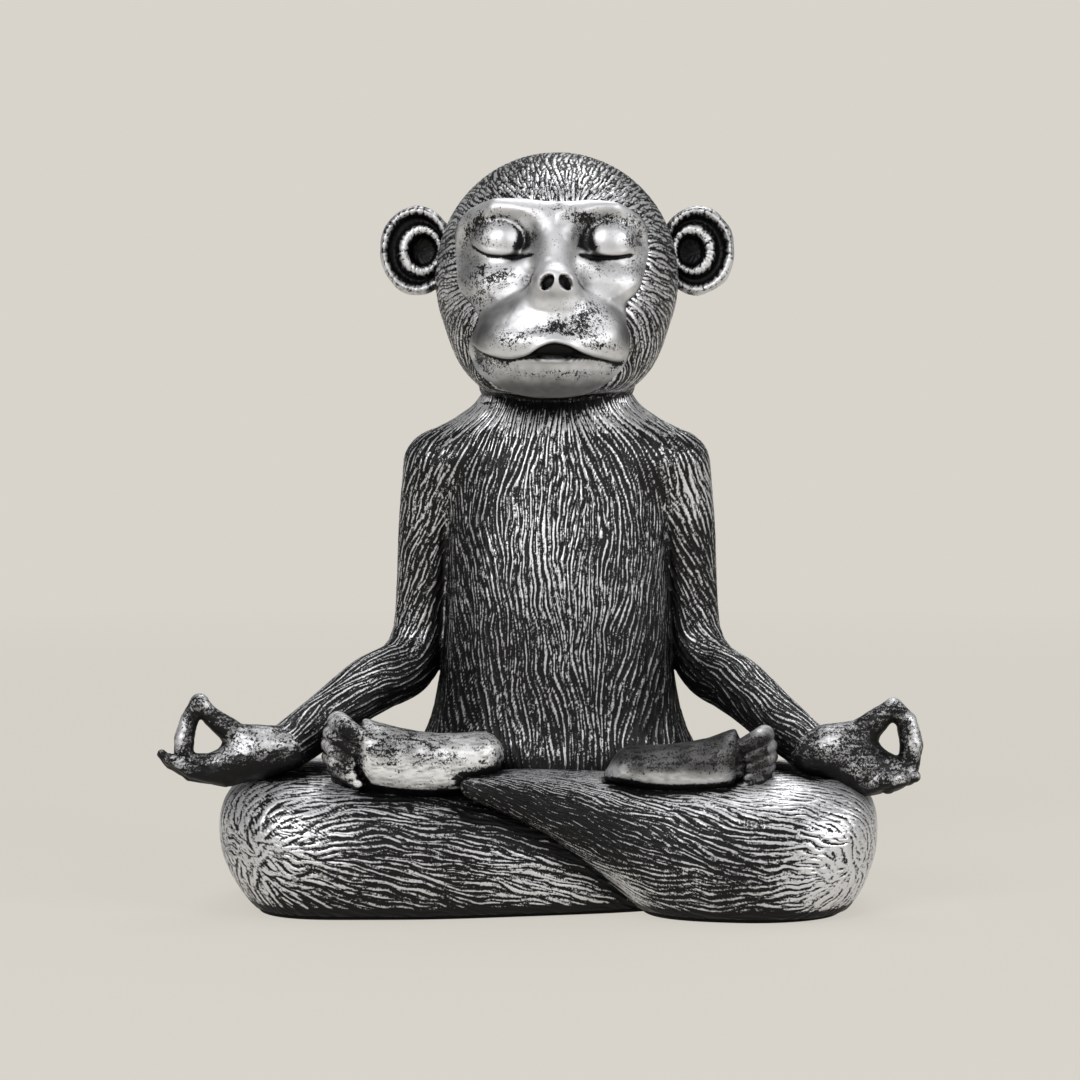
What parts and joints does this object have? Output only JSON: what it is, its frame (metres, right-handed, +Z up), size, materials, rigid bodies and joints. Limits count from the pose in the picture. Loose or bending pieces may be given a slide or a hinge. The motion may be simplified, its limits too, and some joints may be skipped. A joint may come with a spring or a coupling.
{
  "type": "monkey figurine",
  "caption": "Seated monkey figurine with closed eyes and folded legs, its hands resting on the knees with finger and thumb in a ring; a tabletop ornament.",
  "frame": {"origin": "on the underside of the felt, below the middle of the body", "axes": "+Z up; the monkey faces -Y; +X is towards the monkey's own left hand"},
  "size_m": [0.2372, 0.1135, 0.24],
  "materials": {
    "brushed_fur": "black cast resin with fur strokes dry-brushed in silver, satin",
    "polished_skin": "black cast resin rubbed with silver and finely speckled, satin",
    "plain_resin": "unpainted black cast resin",
    "soft_plug": "soft black stopper",
    "base_felt": "black felt",
    "dowel_wood": "plain wood",
    "steel_pin": "plain steel wire"
  },
  "bodies": {
    "root": {"torso_casting": "brushed_fur", "head_casting": "brushed_fur", "left_arm": "brushed_fur", "right_arm": "brushed_fur", "left_leg": "brushed_fur", "right_leg": "brushed_fur", "left_ear": "polished_skin", "right_ear": "polished_skin", "left_hand": "polished_skin", "right_hand": "polished_skin", "left_foot": "polished_skin", "right_foot": "polished_skin", "base_plate": "plain_resin", "vent_plug": "soft_plug", "base_felt": "base_felt", "neck_dowel": "dowel_wood", "left_shoulder_dowel": "dowel_wood", "right_shoulder_dowel": "dowel_wood", "left_wrist_pin": "steel_pin", "right_wrist_pin": "steel_pin", "left_foot_pin": "steel_pin", "right_foot_pin": "steel_pin"}
  },
  "joints": []
}
